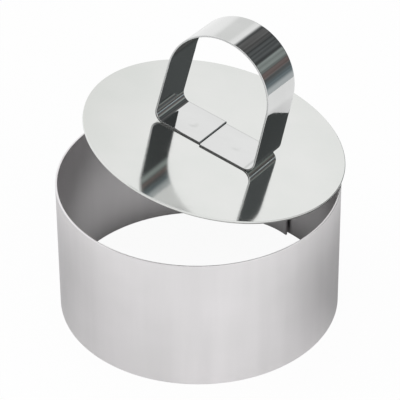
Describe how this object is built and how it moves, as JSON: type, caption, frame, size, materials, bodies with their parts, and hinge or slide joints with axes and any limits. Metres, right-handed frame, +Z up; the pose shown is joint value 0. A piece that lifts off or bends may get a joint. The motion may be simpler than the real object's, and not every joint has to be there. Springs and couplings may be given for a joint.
{
  "type": "food ring mold",
  "caption": "Open round steel ring for shaping food, with a loose pusher disc that has a bent strap handle and leans on the ring's rim.",
  "frame": {"origin": "on the ring's axis, in the plane of its bottom edge", "axes": "+Z up along the ring's axis; +X towards the side where the pusher leans down on the rim; +Y away from the front"},
  "size_m": [0.0815, 0.0849, 0.0857],
  "materials": {
    "ring_steel": "satin rolled stainless steel",
    "plate_steel": "bright rolled stainless steel",
    "strap_steel": "mirror polished stainless steel",
    "weld_steel": "dull spot weld"
  },
  "bodies": {
    "ring": {"ring_band": "ring_steel", "ring_seam_welds": "weld_steel"},
    "pusher": {"pusher_plate": "plate_steel", "handle_strap": "strap_steel", "handle_welds": "weld_steel"}
  },
  "joints": [
    {"name": "pusher_lift", "type": "slide", "parent": "ring", "child": "pusher", "axis": [0, 0, 1], "range_m": [0, 0.08]}
  ]
}
